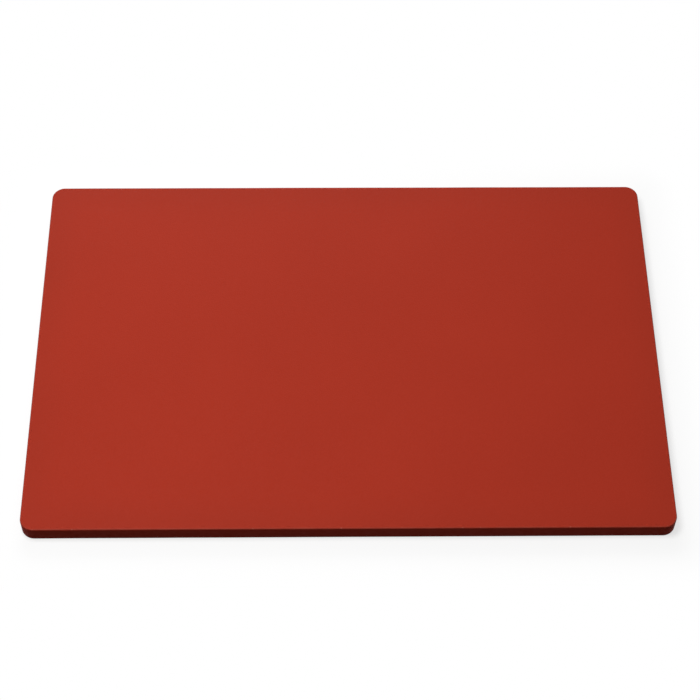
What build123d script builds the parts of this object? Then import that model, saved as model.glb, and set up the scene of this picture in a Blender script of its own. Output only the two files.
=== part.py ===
from build123d import *
import os

# A plastic cutting board for a butcher's, deli or kitchen counter.
# It is cut from one sheet of solid polyethylene, so the whole object is a single piece,
# the same on both faces and free to be turned over.
#
# Millimetres, +Z up. The origin is the centre of the underside.
# X runs along the board, Y across it with +Y away from the user, Z through the sheet.

# Driving dimensions. Boards of this kind are sold in inch sizes, given after the value where there is one.
BOARD_LENGTH = 457.2  # 18 in
BOARD_WIDTH = 304.8  # 12 in
SHEET_THICKNESS = 12.7  # 1/2 in
CORNER_RADIUS = 9.525  # 3/8 in: the four corners, seen from above
RIM_RADIUS = 1.0  # the eased edge between each face and the side

PARTS_FOLDER = "parts"


def board_slab() -> Part:
    """Sheet cut to a rounded rectangle, with the rims of both faces eased to a small radius."""
    with BuildPart() as slab:
        with BuildSketch():
            RectangleRounded(BOARD_LENGTH, BOARD_WIDTH, CORNER_RADIUS)
        extrude(amount=SHEET_THICKNESS)
        faces_by_height = slab.faces().sort_by(Axis.Z)
        underside = faces_by_height[0]
        work_face = faces_by_height[-1]
        fillet(underside.edges() + work_face.edges(), radius=RIM_RADIUS)
    return slab.part


def main() -> None:
    """Write each piece of the board to its own STEP file."""
    pieces = {"board_slab": board_slab()}
    os.makedirs(PARTS_FOLDER, exist_ok=True)
    for node, solid in pieces.items():
        export_step(solid, os.path.join(PARTS_FOLDER, node + ".step"))


main()
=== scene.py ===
import logging
import math
from dataclasses import dataclass
from enum import Enum
from typing import Sequence, Union

import bpy
from mathutils import Matrix, Vector


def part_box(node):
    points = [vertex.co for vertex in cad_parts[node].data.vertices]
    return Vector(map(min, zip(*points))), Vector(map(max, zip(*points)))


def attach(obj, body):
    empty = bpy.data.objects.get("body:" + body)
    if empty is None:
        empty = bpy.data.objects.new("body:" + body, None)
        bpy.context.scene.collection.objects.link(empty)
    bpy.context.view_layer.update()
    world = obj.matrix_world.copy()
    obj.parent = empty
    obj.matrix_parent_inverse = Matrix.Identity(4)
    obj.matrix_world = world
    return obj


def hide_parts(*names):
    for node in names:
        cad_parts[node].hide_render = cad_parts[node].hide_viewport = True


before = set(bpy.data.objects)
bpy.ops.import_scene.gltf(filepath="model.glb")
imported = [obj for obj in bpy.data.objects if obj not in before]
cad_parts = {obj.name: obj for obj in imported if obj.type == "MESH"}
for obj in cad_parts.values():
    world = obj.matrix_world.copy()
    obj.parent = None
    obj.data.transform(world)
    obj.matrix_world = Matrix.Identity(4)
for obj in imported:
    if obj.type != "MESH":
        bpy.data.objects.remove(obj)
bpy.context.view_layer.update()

# A red polyethylene cutting board on a pale studio floor. Sizes are in metres, in the frame of the
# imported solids: the origin is in the middle of the underside, and X runs along the board, Y across it
# and away from the camera, and Z up.

BOARD_NODE = "board_slab"
BOARD_BODY = "root"
LOG = logging.getLogger("cutting_board")

MILLIMETRE = 0.001
SAME_PLACE = 1e-6
QUARTER_TURN = math.pi / 2
CORNERS = 4
HALF_STEP = 0.5
NOISE_MEAN = 0.5
MIDWAY = 0.5

Number = Union["Formula", float, int]
Colour = tuple[float, float, float]
Paint = Union[Colour, bpy.types.NodeSocket]
TreeInput = Union[float, int, bpy.types.Material]
SOCKET_KINDS = {
    float: "NodeSocketFloat",
    int: "NodeSocketInt",
    bpy.types.Material: "NodeSocketMaterial",
}


# ----------------------------------------------------------------------------------------------------
# Node trees written as formulas
# ----------------------------------------------------------------------------------------------------


@dataclass(frozen=True)
class Formula:
    """A value inside a node tree that can be combined with the usual signs."""

    bench: "NodeBench"
    socket: bpy.types.NodeSocket

    def _maths(self, operation: str, *values: Number) -> "Formula":
        """Add one Math node.

        Args:
            operation: What the node works out.
            *values: What it works on.

        Returns:
            Its result.
        """
        node = self.bench.add("ShaderNodeMath", operation=operation)
        for slot, value in zip(node.inputs, values):
            self.bench.feed(slot, value)
        return Formula(self.bench, node.outputs["Value"])

    def __add__(self, other: Number) -> "Formula":
        """This and the other together."""
        return self._maths("ADD", self, other)

    def __sub__(self, other: Number) -> "Formula":
        """This less the other."""
        return self._maths("SUBTRACT", self, other)

    def __rsub__(self, other: Number) -> "Formula":
        """The other less this."""
        return self._maths("SUBTRACT", other, self)

    def __mul__(self, other: Number) -> "Formula":
        """This times the other."""
        return self._maths("MULTIPLY", self, other)

    def __truediv__(self, other: Number) -> "Formula":
        """This divided by the other."""
        return self._maths("DIVIDE", self, other)

    def whole(self) -> "Formula":
        """The whole number at or below this one."""
        return self._maths("FLOOR", self)

    def cosine(self) -> "Formula":
        """Its cosine, with this in radians."""
        return self._maths("COSINE", self)

    def sine(self) -> "Formula":
        """Its sine, with this in radians."""
        return self._maths("SINE", self)

    def size(self) -> "Formula":
        """The same number without its minus sign."""
        return self._maths("ABSOLUTE", self)

    def root(self) -> "Formula":
        """Its square root."""
        return self._maths("SQRT", self)

    def sign(self) -> "Formula":
        """Minus one, nought or one."""
        return self._maths("SIGN", self)

    def above(self, limit: Number) -> "Formula":
        """One where this is over the limit, and nought elsewhere."""
        return self._maths("GREATER_THAN", self, limit)

    def at_least(self, limit: Number) -> "Formula":
        """This or the limit, whichever is more."""
        return self._maths("MAXIMUM", self, limit)

    def at_most(self, limit: Number) -> "Formula":
        """This or the limit, whichever is less."""
        return self._maths("MINIMUM", self, limit)

    def blend(self, start: Number, end: Number) -> "Formula":
        """Start where this is nought, end where it is one, and between them in proportion."""
        return self * (end - start) + start

    def ramp(self, low: float, high: float) -> "Formula":
        """Nought below low, one above high, and a smooth rise between.

        Args:
            low: Where the rise starts.
            high: Where it ends.

        Returns:
            The risen value, from nought to one.
        """
        node = self.bench.add("ShaderNodeMapRange", interpolation_type="SMOOTHSTEP")
        self.bench.feed(node.inputs["Value"], self)
        node.inputs["From Min"].default_value = low
        node.inputs["From Max"].default_value = high
        return Formula(self.bench, node.outputs["Result"])


@dataclass(frozen=True)
class NodeBench:
    """A node tree being put together."""

    tree: bpy.types.NodeTree

    def add(self, kind: str, **settings: object) -> bpy.types.Node:
        """Add a node of this kind with these settings.

        Args:
            kind: The node's type name.
            **settings: Properties of the node to set.

        Returns:
            The new node.
        """
        node = self.tree.nodes.new(kind)
        for name, value in settings.items():
            setattr(node, name, value)
        return node

    def feed(self, slot: bpy.types.NodeSocket,
             value: Union[Number, bpy.types.NodeSocket, Sequence[float]]) -> None:
        """Link a formula or a socket to an input, or set the input to a plain value.

        Args:
            slot: The input.
            value: What it gets.
        """
        if isinstance(value, Formula):
            self.tree.links.new(value.socket, slot)
        elif isinstance(value, bpy.types.NodeSocket):
            self.tree.links.new(value, slot)
        else:
            slot.default_value = value

    def vector(self, x: Number, y: Number, z: Number) -> bpy.types.NodeSocket:
        """Join three values into a vector.

        Args:
            x: The first value.
            y: The second value.
            z: The third value.

        Returns:
            The vector.
        """
        node = self.add("ShaderNodeCombineXYZ")
        for slot, value in zip(node.inputs, (x, y, z)):
            self.feed(slot, value)
        return node.outputs["Vector"]

    def parts(self, vector: bpy.types.NodeSocket) -> tuple[Formula, Formula, Formula]:
        """Take a vector apart.

        Args:
            vector: The vector.

        Returns:
            Its three values.
        """
        node = self.add("ShaderNodeSeparateXYZ")
        self.feed(node.inputs["Vector"], vector)
        return tuple(Formula(self, out) for out in node.outputs)

    def noise(self, place: bpy.types.NodeSocket, feature: float, seed: float,
              detail: float = 2.0) -> Formula:
        """Smooth noise from nought to one, with bumps of about the feature's size.

        Args:
            place: Where in space it is read, in metres.
            feature: The size of one bump in metres.
            seed: A fixed number that picks the pattern.
            detail: How many finer layers are added.

        Returns:
            The noise, whose mean is near NOISE_MEAN.
        """
        node = self.add("ShaderNodeTexNoise", noise_dimensions="4D")
        self.feed(node.inputs["Vector"], place)
        node.inputs["W"].default_value = seed
        node.inputs["Scale"].default_value = 1 / feature
        node.inputs["Detail"].default_value = detail
        return Formula(self, node.outputs["Fac"])


# ----------------------------------------------------------------------------------------------------
# Finishes
# ----------------------------------------------------------------------------------------------------


class SurfaceMark(Enum):
    """Names of the attributes that tell a finish which part of the surface it is on."""

    SIDE = "side"


class ColourMix(Enum):
    """Ways of laying one colour over another."""

    COVER = "MIX"
    TINT = "MULTIPLY"


@dataclass(frozen=True)
class Relief:
    """A layer of small height differences in a surface."""

    feature: float
    height: float
    seed: float


@dataclass(frozen=True)
class BoardPlastic:
    """Coloured polyethylene sheet: satin, finely grained faces, plainly machined sides and hand-eased rims.

    The plastic is a little translucent to red. Near a face's edges some of the light that soaks in
    leaves by the sides; the colour there is painted a shade deeper, as painted shade.
    """

    half_length: float
    half_width: float
    name: str = "satin_red_polyethylene"
    slot: str = "red_polyethylene"
    pigment: Colour = (0.3755, 0.0325, 0.0160)
    # A paler rim colour: partly scuffing and nicks of wear, partly a painted highlight along the rims.
    scuff_and_sheen_colour: Colour = (0.520, 0.150, 0.110)
    tone_spread: float = 0.10
    drift_size: float = 90 * MILLIMETRE
    drift_seed: float = 1.0
    drift_share: float = 0.5
    # Painted shade: how much darker the hollows of the grain and the feed marks are coloured.
    painted_hollow_shade: float = 0.7
    # Painted shade: the faces' colour is tinted darker near the board's edges, for light that leaves by the
    # sides.
    painted_edge_shade_tint: Colour = (0.958, 0.988, 1.0)
    painted_edge_shade_reach: float = 30 * MILLIMETRE
    face_roughness: float = 0.34
    side_roughness: float = 0.62
    roughness_spread: float = 0.30
    patch_size: float = 3.6 * MILLIMETRE
    patch_seed: float = 13.0
    refractive_index: float = 1.51
    shine: float = 0.03
    grain: Relief = Relief(feature=0.9 * MILLIMETRE, height=0.09 * MILLIMETRE, seed=3.0)
    sheet_wave: Relief = Relief(feature=70 * MILLIMETRE, height=0.25 * MILLIMETRE, seed=11.0)
    feed_marks: Relief = Relief(feature=1.1 * MILLIMETRE, height=0.10 * MILLIMETRE, seed=7.0)
    # The broad rim paling: partly scuffing, partly a painted highlight along the rims.
    scuff_and_sheen_size: float = 7 * MILLIMETRE
    scuff_and_sheen_seed: float = 5.0
    scuff_and_sheen_strength: float = 0.30
    nick_size: float = 2.2 * MILLIMETRE
    nick_seed: float = 9.0
    nick_level: float = 0.64
    nick_softness: float = 0.08
    nick_strength: float = 0.50

    def material(self) -> bpy.types.Material:
        """Build the finish.

        Returns:
            The material, which reads Object coordinates and the attribute that marks sides and rims.
        """
        made = bpy.data.materials.new(self.name)
        made.use_nodes = True
        bench = NodeBench(made.node_tree)
        shader = made.node_tree.nodes["Principled BSDF"]
        shader.inputs["IOR"].default_value = self.refractive_index
        shader.inputs["Specular IOR Level"].default_value = self.shine
        place = bench.add("ShaderNodeTexCoord").outputs["Object"]
        side_mark = bench.add("ShaderNodeAttribute", attribute_name=SurfaceMark.SIDE.value)
        side = Formula(bench, side_mark.outputs["Fac"])
        rim = side * (1 - side) * 4  # near one in the middle of a rim, nought on faces and sides
        x, y, _ = bench.parts(place)
        # Painted shade: the colour darkens near the faces' edges and in the texture's hollows.
        shade_at_edges = self._painted_edge_shade(x, y, side)
        grain = bench.noise(place, self.grain.feature, self.grain.seed)
        marks = bench.noise(bench.vector(x, y, 0.0), self.feed_marks.feature, self.feed_marks.seed)
        body = self._body(bench, place, side.blend(grain, marks), shade_at_edges)
        bench.feed(shader.inputs["Base Color"], self._paled_by_wear_and_sheen(bench, place, rim, body))
        bench.feed(shader.inputs["Roughness"], self._roughness(bench, place, side))
        raised = side.blend(grain * self.grain.height, marks * self.feed_marks.height)
        bench.feed(shader.inputs["Normal"], self._relief(bench, place, raised))
        return made

    def _painted_edge_shade(self, x: Formula, y: Formula, side: Formula) -> Formula:
        """Find where a face comes near the board's edges, for the painted shade there.

        Args:
            x: The distance along the board from its middle.
            y: The distance across the board from its middle.
            side: How far the surface is turned from a face to a side.

        Returns:
            Nought in a face's middle and on the sides, one along a face's edges.
        """
        inner = (self.half_length - x.size()).ramp(0.0, self.painted_edge_shade_reach)
        inner = inner * (self.half_width - y.size()).ramp(0.0, self.painted_edge_shade_reach)
        return (1 - inner) * (1 - side)

    def _body(self, bench: NodeBench, place: bpy.types.NodeSocket, texture: Formula,
              shade_at_edges: Formula) -> bpy.types.NodeSocket:
        """Colour the plastic in a slowly drifting tone, with painted shade in hollows and near the faces'
        edges.

        Args:
            bench: The material's bench.
            place: Where on the board it is.
            texture: The fine grain or the feed marks.
            shade_at_edges: How much painted shade it gets near a face's edges, from nought to one.

        Returns:
            The colour.
        """
        drift = bench.noise(place, self.drift_size, self.drift_seed)
        # Painted shade in the hollows: the texture's low spots are coloured darker; the drift is the
        # plastic's own random tone.
        tone = (drift - NOISE_MEAN) * self.drift_share + (texture - NOISE_MEAN) * self.painted_hollow_shade + MIDWAY
        light = tuple(part * (1 + self.tone_spread) for part in self.pigment)
        dark = tuple(part * (1 - self.tone_spread) for part in self.pigment)
        even = self._mix(bench, ColourMix.COVER, tone, dark, light)
        return self._mix(bench, ColourMix.TINT, shade_at_edges, even, self.painted_edge_shade_tint)

    def _paled_by_wear_and_sheen(self, bench: NodeBench, place: bpy.types.NodeSocket, rim: Formula,
              body: bpy.types.NodeSocket) -> bpy.types.NodeSocket:
        """Pale the colour along the rims: nicks of wear, and a broad paling that is partly scuffing and
        partly a painted highlight.

        Args:
            bench: The material's bench.
            place: Where on the board it is.
            rim: Near one in the middle of a rim, nought on faces and sides.
            body: The plastic's colour, with its painted shade.

        Returns:
            The colour.
        """
        scuff_sheen_pattern = bench.noise(place, self.scuff_and_sheen_size, self.scuff_and_sheen_seed)
        nick = bench.noise(place, self.nick_size, self.nick_seed)
        nick = nick.ramp(self.nick_level, self.nick_level + self.nick_softness)
        # Nicks are wear; the broad paling is partly scuffing and partly a painted highlight.
        rim_wear_and_sheen = rim * (scuff_sheen_pattern * self.scuff_and_sheen_strength + nick * self.nick_strength)
        return self._mix(bench, ColourMix.COVER, rim_wear_and_sheen, body, self.scuff_and_sheen_colour)

    def _roughness(self, bench: NodeBench, place: bpy.types.NodeSocket, side: Formula) -> Formula:
        """Satin on the faces and duller on the machined sides, a little uneven all over."""
        patches = bench.noise(place, self.patch_size, self.patch_seed) - NOISE_MEAN
        return side.blend(self.face_roughness, self.side_roughness) + patches * self.roughness_spread

    def _relief(self, bench: NodeBench, place: bpy.types.NodeSocket,
                raised: Formula) -> bpy.types.NodeSocket:
        """Raise the surface by the sheet's slow waves and the fine texture.

        Args:
            bench: The material's bench.
            place: Where on the board it is.
            raised: The fine texture's height in metres.

        Returns:
            The bumped normal.
        """
        wave = self.sheet_wave
        waves = bench.noise(place, wave.feature, wave.seed, detail=1.0) * wave.height
        bump = bench.add("ShaderNodeBump")
        bump.inputs["Distance"].default_value = 1.0  # heights are in metres already
        bench.feed(bump.inputs["Height"], waves + raised)
        return bump.outputs["Normal"]

    @staticmethod
    def _mix(bench: NodeBench, way: ColourMix, share: Formula, under: Paint,
             over: Paint) -> bpy.types.NodeSocket:
        """Lay one colour over another.

        Args:
            bench: The material's bench.
            way: How the upper colour is laid.
            share: How much of it shows.
            under: The lower colour.
            over: The upper colour.

        Returns:
            The colour that comes out.
        """
        node = bench.add("ShaderNodeMix", data_type="RGBA", blend_type=way.value)
        bench.feed(node.inputs["Factor"], share)
        for slot, paint in ((node.inputs["A"], under), (node.inputs["B"], over)):
            bench.feed(slot, (*paint, 1.0) if isinstance(paint, tuple) else paint)
        return node.outputs["Result"]


# ----------------------------------------------------------------------------------------------------
# The board
# ----------------------------------------------------------------------------------------------------


@dataclass(frozen=True)
class SlabSizes:
    """The slab's sizes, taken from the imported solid."""

    low: Vector
    high: Vector
    corner_radius: float
    rim_radius: float

    @classmethod
    def of_node(cls, node: str) -> "SlabSizes":
        """Measure a node whose faces are flat and whose sides are straight.

        Args:
            node: The name of the CAD node.

        Returns:
            Its box, and the radii of its corners and rims.
        """
        low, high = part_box(node)
        places = [vertex.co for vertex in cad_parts[node].data.vertices]
        work_face = [place for place in places if high.z - place.z < SAME_PLACE]
        right_side = [place for place in places if high.x - place.x < SAME_PLACE]
        rim_radius = high.x - max(place.x for place in work_face)
        corner_radius = high.y - max(place.y for place in right_side)
        return cls(low, high, corner_radius, rim_radius)

    @property
    def length(self) -> float:
        """Along X."""
        return self.high.x - self.low.x

    @property
    def width(self) -> float:
        """Along Y."""
        return self.high.y - self.low.y

    @property
    def thickness(self) -> float:
        """Along Z."""
        return self.high.z - self.low.z


@dataclass(frozen=True)
class SlabMap:
    """A flat layout of the slab's skin.

    The work face has the sides folded out round it, and the underside lies beside it. The one seam
    runs round the underside, so none shows on the board as it stands.
    """

    steps_round: int
    name: str = "OFBake"
    gap: float = 3 * MILLIMETRE

    def draw(self, mesh: bpy.types.Mesh) -> None:
        """Add the map to a slab.

        Args:
            mesh: The slab, whose points run loop by loop from the work face down to the underside.
        """
        points = [vertex.co.copy() for vertex in mesh.vertices]
        starts = range(0, len(points), self.steps_round)
        loops = [points[start:start + self.steps_round] for start in starts]
        underside = loops[-2:]
        upper = [Vector((-place.y, place.x)) for place in self._folded_out(loops[:-1])]
        lower = [Vector((place.y, place.x)) for loop in underside for place in loop]
        upper_half, lower_half = self._half_size(upper), self._half_size(lower)
        sheet_width = 2 * (upper_half.x + lower_half.x) + 3 * self.gap
        sheet_height = 2 * max(upper_half.y, lower_half.y) + 2 * self.gap
        upper_middle = Vector((self.gap + upper_half.x, sheet_height / 2))
        lower_middle = Vector((sheet_width - self.gap - lower_half.x, sheet_height / 2))
        first_below = len(points) - len(lower)
        layer = mesh.uv_layers.new(name=self.name)
        for face in mesh.polygons:
            below = min(face.vertices) >= first_below
            for corner, point in zip(face.loop_indices, face.vertices):
                place = lower_middle + lower[point - first_below] if below else upper_middle + upper[point]
                layer.uv[corner].vector = (place.x / sheet_width, place.y / sheet_height)

    @staticmethod
    def _folded_out(loops: Sequence[Sequence[Vector]]) -> list[Vector]:
        """Lay rims and sides level with the work face.

        Args:
            loops: The points of each loop, from the work face down.

        Returns:
            Each point's place in the plane, pushed outwards by its distance along the skin.
        """
        outwards = [(outer - inner).xy.normalized() for inner, outer in zip(loops[0], loops[1])]
        laid = [place.xy for place in loops[0]]
        places = list(laid)
        for above, below in zip(loops, loops[1:]):
            steps = [(low - high).length for high, low in zip(above, below)]
            laid = [place + outward * step for place, outward, step in zip(laid, outwards, steps)]
            places += laid
        return places

    @staticmethod
    def _half_size(places: Sequence[Vector]) -> Vector:
        """How far the places reach across and up from the origin."""
        return Vector((max(place.x for place in places), max(place.y for place in places)))


@dataclass(frozen=True)
class BoardSlab:
    """The one piece of the board: a slab with rounded corners and hand-eased rims."""

    sizes: SlabSizes
    finish: BoardPlastic
    name: str = "slab"
    corner_steps: int = 20
    run_steps: int = 56
    rim_steps: int = 8
    rim_wander: float = 0.22
    wander_size: float = 45 * MILLIMETRE
    wander_seed: float = 2.0
    flat_margin: float = 0.8 * MILLIMETRE

    @property
    def steps_round(self) -> int:
        """Points in one loop round the board."""
        return CORNERS * (self.corner_steps + self.run_steps)

    def build(self) -> bpy.types.Object:
        """Make the slab as a finished piece.

        Returns:
            The object, at the origin, with its place in its mesh.
        """
        inputs = self._named_inputs()
        shaper = bpy.data.objects.new("shaper", bpy.data.meshes.new("shaper"))
        bpy.context.scene.collection.objects.link(shaper)
        modifier = shaper.modifiers.new("shape", "NODES")
        modifier.node_group = self._tree(inputs)
        self._set_inputs(modifier, inputs)
        evaluated = shaper.evaluated_get(bpy.context.evaluated_depsgraph_get())
        mesh = bpy.data.meshes.new_from_object(evaluated)
        bpy.data.objects.remove(shaper)
        mesh.name = self.name
        SlabMap(self.steps_round).draw(mesh)
        piece = bpy.data.objects.new(self.name, mesh)
        bpy.context.scene.collection.objects.link(piece)
        return piece

    def _named_inputs(self) -> dict[str, TreeInput]:
        """Collect what the tree is given.

        Returns:
            The sizes and the finish, by the names of the tree's inputs.
        """
        return {
            "Length": self.sizes.length,
            "Width": self.sizes.width,
            "Thickness": self.sizes.thickness,
            "Corner Radius": self.sizes.corner_radius,
            "Rim Radius": self.sizes.rim_radius,
            "Rim Wander": self.rim_wander,
            "Flat Margin": self.flat_margin,
            "Corner Steps": self.corner_steps,
            "Run Steps": self.run_steps,
            "Rim Steps": self.rim_steps,
            "Finish": self.finish.material(),
        }

    @staticmethod
    def _set_inputs(modifier: bpy.types.NodesModifier, inputs: dict[str, TreeInput]) -> None:
        """Give the modifier what its tree needs, by each socket's identifier.

        Args:
            modifier: The modifier, with its tree in place.
            inputs: What the tree is given, by name.
        """
        for item in modifier.node_group.interface.items_tree:
            if item.in_out == "INPUT":
                modifier[item.identifier] = inputs[item.name]

    def _tree(self, inputs: dict[str, TreeInput]) -> bpy.types.NodeTree:
        """Build the tree that shapes the slab.

        Args:
            inputs: What the tree is given, by name.

        Returns:
            A tree that bends a tube with two end caps into the slab, loop by loop.
        """
        tree = bpy.data.node_groups.new("slab_shape", "GeometryNodeTree")
        for label, value in inputs.items():
            tree.interface.new_socket(name=label, in_out="INPUT", socket_type=SOCKET_KINDS[type(value)])
        tree.interface.new_socket(name="Geometry", in_out="OUTPUT", socket_type="NodeSocketGeometry")
        bench = NodeBench(tree)
        given = bench.add("NodeGroupInput").outputs
        size = {out.name: Formula(bench, out) for out in given if out.name}
        steps_round = (size["Corner Steps"] + size["Run Steps"]) * CORNERS
        loops = (size["Rim Steps"] + 1) * 2 + 2  # those of the two rims, and one inside each face

        tube = bench.add("GeometryNodeMeshCylinder", fill_type="NGON")
        bench.feed(tube.inputs["Vertices"], steps_round)
        bench.feed(tube.inputs["Side Segments"], loops - 1)
        index = Formula(bench, bench.add("GeometryNodeInputIndex").outputs["Index"])
        loop = ((index + HALF_STEP) / steps_round).whole()
        step = index - loop * steps_round
        place, side = self._slab_surface(bench, size, loop, step, loops)

        bend = bench.add("GeometryNodeSetPosition")
        bench.feed(bend.inputs["Geometry"], tube.outputs["Mesh"])
        bench.feed(bend.inputs["Position"], place)
        mark = bench.add("GeometryNodeStoreNamedAttribute", data_type="FLOAT", domain="POINT")
        bench.feed(mark.inputs["Geometry"], bend.outputs["Geometry"])
        mark.inputs["Name"].default_value = SurfaceMark.SIDE.value
        bench.feed(mark.inputs["Value"], side)
        smooth = bench.add("GeometryNodeSetShadeSmooth")
        bench.feed(smooth.inputs["Geometry"], mark.outputs["Geometry"])
        real = bench.add("GeometryNodeRealizeInstances")
        bench.feed(real.inputs["Geometry"], smooth.outputs["Geometry"])
        dress = bench.add("GeometryNodeSetMaterial")
        bench.feed(dress.inputs["Geometry"], real.outputs["Geometry"])
        bench.feed(dress.inputs["Material"], size["Finish"])
        out = bench.add("NodeGroupOutput")
        bench.feed(out.inputs["Geometry"], dress.outputs["Geometry"])
        return tree

    def _slab_surface(self, bench: NodeBench, size: dict[str, Formula], loop: Formula, step: Formula,
                      loops: Formula) -> tuple[bpy.types.NodeSocket, Formula]:
        """Work out where each point of the slab lies.

        A loop has four quarters, each a corner and the straight run after it. Half a step keeps
        whole numbers clear of rounding.

        Args:
            bench: The tree's bench.
            size: The tree's inputs by name.
            loop: The loop that the point is on, counted down from the work face.
            step: Its number along that loop, counted from the right-hand side.
            loops: How many loops there are.

        Returns:
            The point's place, and how far it is turned from a face to a side.
        """
        corner, run, rim = size["Corner Steps"], size["Run Steps"], size["Rim Steps"]
        # Along the loop: the quarter, how far round its corner, and how far along its run.
        quarter = ((step + HALF_STEP) / (corner + run)).whole()
        within = step - quarter * (corner + run)
        heading = (quarter + within.at_most(corner) / corner) * QUARTER_TURN
        slide = (within - corner).at_least(0.0) / run
        half_way = quarter * QUARTER_TURN + QUARTER_TURN / 2
        toward_x = slide.blend(half_way.cosine().sign(), (half_way + QUARTER_TURN).cosine().sign())
        toward_y = slide.blend(half_way.sine().sign(), (half_way + QUARTER_TURN).sine().sign())
        centre_x = toward_x * (size["Length"] / 2 - size["Corner Radius"])
        centre_y = toward_y * (size["Width"] / 2 - size["Corner Radius"])

        # Down the skin: the rows of the upper rim, then those of the lower one.
        row = (loop - 1).at_least(0.0).at_most(rim * 2 + 1)
        lower = row.above(rim + HALF_STEP)
        tilt = (rim - row + lower) / rim * QUARTER_TURN
        on_flat = (HALF_STEP - loop).above(0.0) + loop.above(loops - 1 - HALF_STEP)

        # Outwards: each rim's radius wanders, and a loop inside each face lies clear of its rim.
        outline_x = centre_x + heading.cosine() * size["Corner Radius"]
        outline_y = centre_y + heading.sine() * size["Corner Radius"]
        along = bench.vector(outline_x, outline_y, lower * size["Width"])
        wander = bench.noise(along, self.wander_size, self.wander_seed, detail=1.0) * 2 - 1
        radius = size["Rim Radius"] * (wander * size["Rim Wander"] + 1)
        on_rim = size["Corner Radius"] - radius + radius * tilt.cosine()
        inside = size["Corner Radius"] - size["Rim Radius"] * (size["Rim Wander"] + 1) - size["Flat Margin"]
        reach = on_flat.blend(on_rim, inside)
        height = lower.blend(size["Thickness"] - radius, radius) + radius * tilt.sine()
        place = bench.vector(centre_x + heading.cosine() * reach, centre_y + heading.sine() * reach, height)
        return place, tilt.cosine() * (1 - on_flat)


# ----------------------------------------------------------------------------------------------------
# The studio
# ----------------------------------------------------------------------------------------------------


@dataclass(frozen=True)
class StudioFloor:
    """A pale floor that keeps the board's shadow near it and turns to plain white further off."""

    board_half_length: float
    board_half_width: float
    name: str = "studio_floor"
    half_size: float = 20.0
    drop: float = 0.05 * MILLIMETRE
    pale: float = 1.00
    dull: float = 0.06
    shadow_share: float = 0.30
    shadow_reach: float = 40 * MILLIMETRE

    def build(self) -> bpy.types.Object:
        """Lay the floor a hair under the board, so that the two surfaces don't coincide.

        Returns:
            The floor.
        """
        mesh = bpy.data.meshes.new(self.name)
        signs = ((-1, -1), (1, -1), (1, 1), (-1, 1))
        corners = [(x * self.half_size, y * self.half_size, -self.drop) for x, y in signs]
        mesh.from_pydata(corners, [], [(0, 1, 2, 3)])
        mesh.materials.append(self._material())
        floor = bpy.data.objects.new(self.name, mesh)
        bpy.context.scene.collection.objects.link(floor)
        return floor

    def _material(self) -> bpy.types.Material:
        """Build the floor's finish.

        Returns:
            A material that is white to the camera and in reflections, but throws back little light.
        """
        made = bpy.data.materials.new(self.name)
        made.use_nodes = True
        made.node_tree.nodes.clear()
        bench = NodeBench(made.node_tree)
        x, y, _ = bench.parts(bench.add("ShaderNodeTexCoord").outputs["Object"])
        past_end = (x.size() - self.board_half_length).at_least(0.0)
        past_edge = (y.size() - self.board_half_width).at_least(0.0)
        gap = (past_end * past_end + past_edge * past_edge).root()
        shaded = (1 - gap.ramp(0.0, self.shadow_reach)) * self.shadow_share
        pale = bench.add("ShaderNodeBsdfDiffuse")
        pale.inputs["Color"].default_value = (self.pale, self.pale, self.pale, 1.0)
        dull = bench.add("ShaderNodeBsdfDiffuse")
        dull.inputs["Color"].default_value = (self.dull, self.dull, self.dull, 1.0)
        white = bench.add("ShaderNodeEmission")
        seen = self._mix(bench, shaded, white.outputs["Emission"], pale.outputs["BSDF"])
        surface = self._mix(bench, seen_directly(bench), dull.outputs["BSDF"], seen)
        bench.feed(bench.add("ShaderNodeOutputMaterial").inputs["Surface"], surface)
        return made

    @staticmethod
    def _mix(bench: NodeBench, share: Formula, start: bpy.types.NodeSocket,
             end: bpy.types.NodeSocket) -> bpy.types.NodeSocket:
        """Mix two shaders.

        Args:
            bench: The material's bench.
            share: How much of the second one shows.
            start: The first shader.
            end: The second shader.

        Returns:
            The mixed shader.
        """
        node = bench.add("ShaderNodeMixShader")
        for slot, value in zip(node.inputs, (share, start, end)):
            bench.feed(slot, value)
        return node.outputs["Shader"]


def seen_directly(bench: NodeBench) -> Formula:
    """Tell what is seen from light that only falls on things.

    Args:
        bench: The bench of a material or of the world.

    Returns:
        One for what the camera sees, also in a reflection or through glass, and nought for other light.
    """
    path = bench.add("ShaderNodeLightPath").outputs
    kinds = ("Is Camera Ray", "Is Glossy Ray", "Is Transmission Ray")
    camera, reflection, glass = (Formula(bench, path[kind]) for kind in kinds)
    return camera.at_least(reflection).at_least(glass)


@dataclass(frozen=True)
class StudioAir:
    """Weak even light from all round, which the camera and reflections see as plain white."""

    name: str = "studio_air"
    level: float = 0.11

    def build(self) -> bpy.types.World:
        """Make the world.

        Returns:
            The scene's world.
        """
        world = bpy.data.worlds.new(self.name)
        world.use_nodes = True
        bench = NodeBench(world.node_tree)
        background = world.node_tree.nodes["Background"].inputs
        background["Color"].default_value = (1.0, 1.0, 1.0, 1.0)
        bench.feed(background["Strength"], seen_directly(bench).blend(self.level, 1.0))
        bpy.context.scene.world = world
        return world


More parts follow.
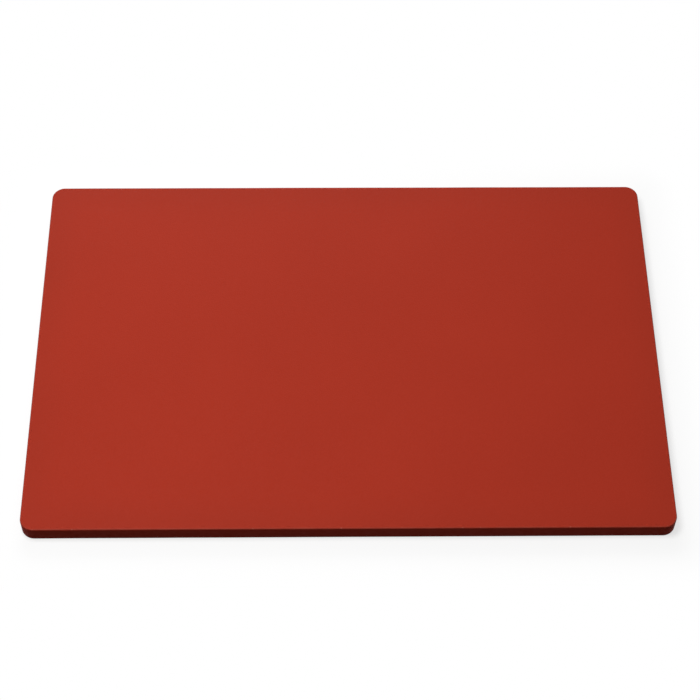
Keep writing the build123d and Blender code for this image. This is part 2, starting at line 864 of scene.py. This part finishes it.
@dataclass(frozen=True)
class Softbox:
    """A large soft lamp that faces the middle of the board."""

    name: str
    place: tuple[float, float, float]
    width: float
    height: float
    level: float

    def build(self, target: Vector) -> bpy.types.Object:
        """Hang the lamp.

        Args:
            target: The point that it faces.

        Returns:
            The lamp.
        """
        data = bpy.data.lights.new(self.name, "AREA")
        data.shape = "RECTANGLE"
        data.size = self.width
        data.size_y = self.height
        data.energy = self._watts(target)
        lamp = bpy.data.objects.new(self.name, data)
        lamp.location = self.place
        lamp.rotation_euler = (target - Vector(self.place)).to_track_quat("-Z", "Y").to_euler()
        bpy.context.scene.collection.objects.link(lamp)
        return lamp

    def _watts(self, target: Vector) -> float:
        """Work out the lamp's power, as for one that is small beside its distance.

        Args:
            target: The point that it faces.

        Returns:
            The power at which a level surface there renders at its own colour times the lamp's level.
        """
        ray = Vector(self.place) - target
        slant = ray.z / ray.length
        return self.level * math.pi ** 2 * ray.length_squared / slant


@dataclass(frozen=True)
class StudioCamera:
    """The camera: above the front of the board, looking down at it a little askew."""

    aim: Vector
    name: str = "studio_camera"
    distance: float = 1.3905
    look_down: float = math.radians(55.54)
    swing: float = math.radians(-1.209)
    roll: float = math.radians(0.780)
    focal_length: float = 96.96
    film_width: float = 36.0

    def build(self) -> bpy.types.Object:
        """Set up the camera and make it the scene's own.

        Returns:
            The camera.
        """
        data = bpy.data.cameras.new(self.name)
        data.lens = self.focal_length
        data.sensor_width = self.film_width
        camera = bpy.data.objects.new(self.name, data)
        turn = (
            Matrix.Rotation(self.swing, 4, "Z")
            @ Matrix.Rotation(QUARTER_TURN - self.look_down, 4, "X")
            @ Matrix.Rotation(self.roll, 4, "Z")
        )
        back = Matrix.Translation((0.0, 0.0, self.distance))
        camera.matrix_world = Matrix.Translation(self.aim) @ turn @ back
        bpy.context.scene.collection.objects.link(camera)
        bpy.context.scene.camera = camera
        return camera


@dataclass(frozen=True)
class Studio:
    """Everything round the board."""

    board: SlabSizes
    key_lamp: Softbox = Softbox("key_lamp", (-0.30, -0.07, 1.21), width=0.5, height=0.5, level=0.764)
    back_panel: Softbox = Softbox("back_panel", (-0.17, 1.19, 0.88), width=1.0, height=0.5, level=0.183)
    aim_right: float = 2.04 * MILLIMETRE
    aim_forward: float = 2.41 * MILLIMETRE

    def build(self) -> None:
        """Set the view's plain colours, and put up the floor, the air, the lamps and the camera."""
        bpy.context.scene.view_settings.view_transform = "Standard"
        StudioFloor(self.board.length / 2, self.board.width / 2).build()
        StudioAir().build()
        middle = (self.board.low + self.board.high) / 2
        for softbox in (self.key_lamp, self.back_panel):
            softbox.build(middle)
        aim = Vector((middle.x + self.aim_right, middle.y - self.aim_forward, self.board.high.z))
        StudioCamera(aim).build()


# ----------------------------------------------------------------------------------------------------
# Putting it together
# ----------------------------------------------------------------------------------------------------


def main() -> None:
    """Build the board and the studio round it."""
    logging.basicConfig(level=logging.INFO, format="%(message)s")
    sizes = SlabSizes.of_node(BOARD_NODE)
    radii = (sizes.corner_radius / MILLIMETRE, sizes.rim_radius / MILLIMETRE)
    LOG.info("corner radius %.3f mm, rim radius %.3f mm", *radii)
    board = BoardSlab(sizes, BoardPlastic(sizes.length / 2, sizes.width / 2))
    piece = board.build()
    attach(piece, BOARD_BODY)
    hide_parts(BOARD_NODE)
    LOG.info("%s: %d faces", piece.name, len(piece.data.polygons))
    Studio(sizes).build()


if __name__ == "__main__":
    main()
